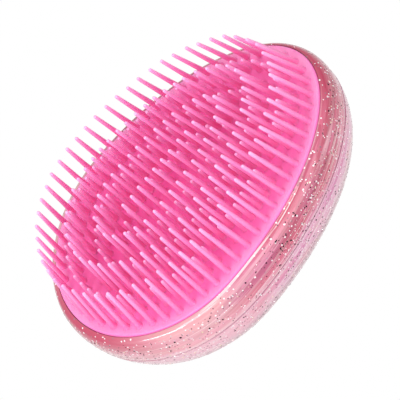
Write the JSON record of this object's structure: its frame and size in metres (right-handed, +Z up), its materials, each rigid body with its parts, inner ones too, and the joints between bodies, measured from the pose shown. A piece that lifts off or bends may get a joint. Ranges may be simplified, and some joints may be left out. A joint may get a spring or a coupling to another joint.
{
  "type": "palm hair brush",
  "caption": "Egg-shaped palm brush: translucent glitter casing in two halves with a lift-out soft pad of long and short bristles for detangling and scalp massage.",
  "frame": {"origin": "middle of the bounding box at the flat of the back, which the brush stands on", "axes": "+X along the length towards the narrow end, +Y across, +Z up out of the bristles"},
  "size_m": [0.107, 0.0772, 0.0527],
  "materials": {
    "casing": "glossy translucent pink plastic with glitter moulded in",
    "liner": "pearl, shifting from pink to lilac and cream",
    "carrier": "glossy magenta",
    "pad": "soft satin hot pink",
    "bristles": "soft satin pink, paler at the tips"
  },
  "bodies": {
    "casing": {"front_casing": "casing", "back_cover": "casing", "pearl_liner": "liner", "pad_carrier": "carrier"},
    "pad": {"bristle_pad": "pad", "bristle_row_1_long": "bristles", "bristle_row_2_short": "bristles", "bristle_row_3_long": "bristles", "bristle_row_4_short": "bristles", "bristle_row_5_long": "bristles", "bristle_row_6_short": "bristles", "bristle_centre_line": "bristles"}
  },
  "joints": [
    {"name": "pad_release", "type": "slide", "parent": "casing", "child": "pad", "axis": [0, 0, 1], "range_m": [0, 0.03]}
  ]
}
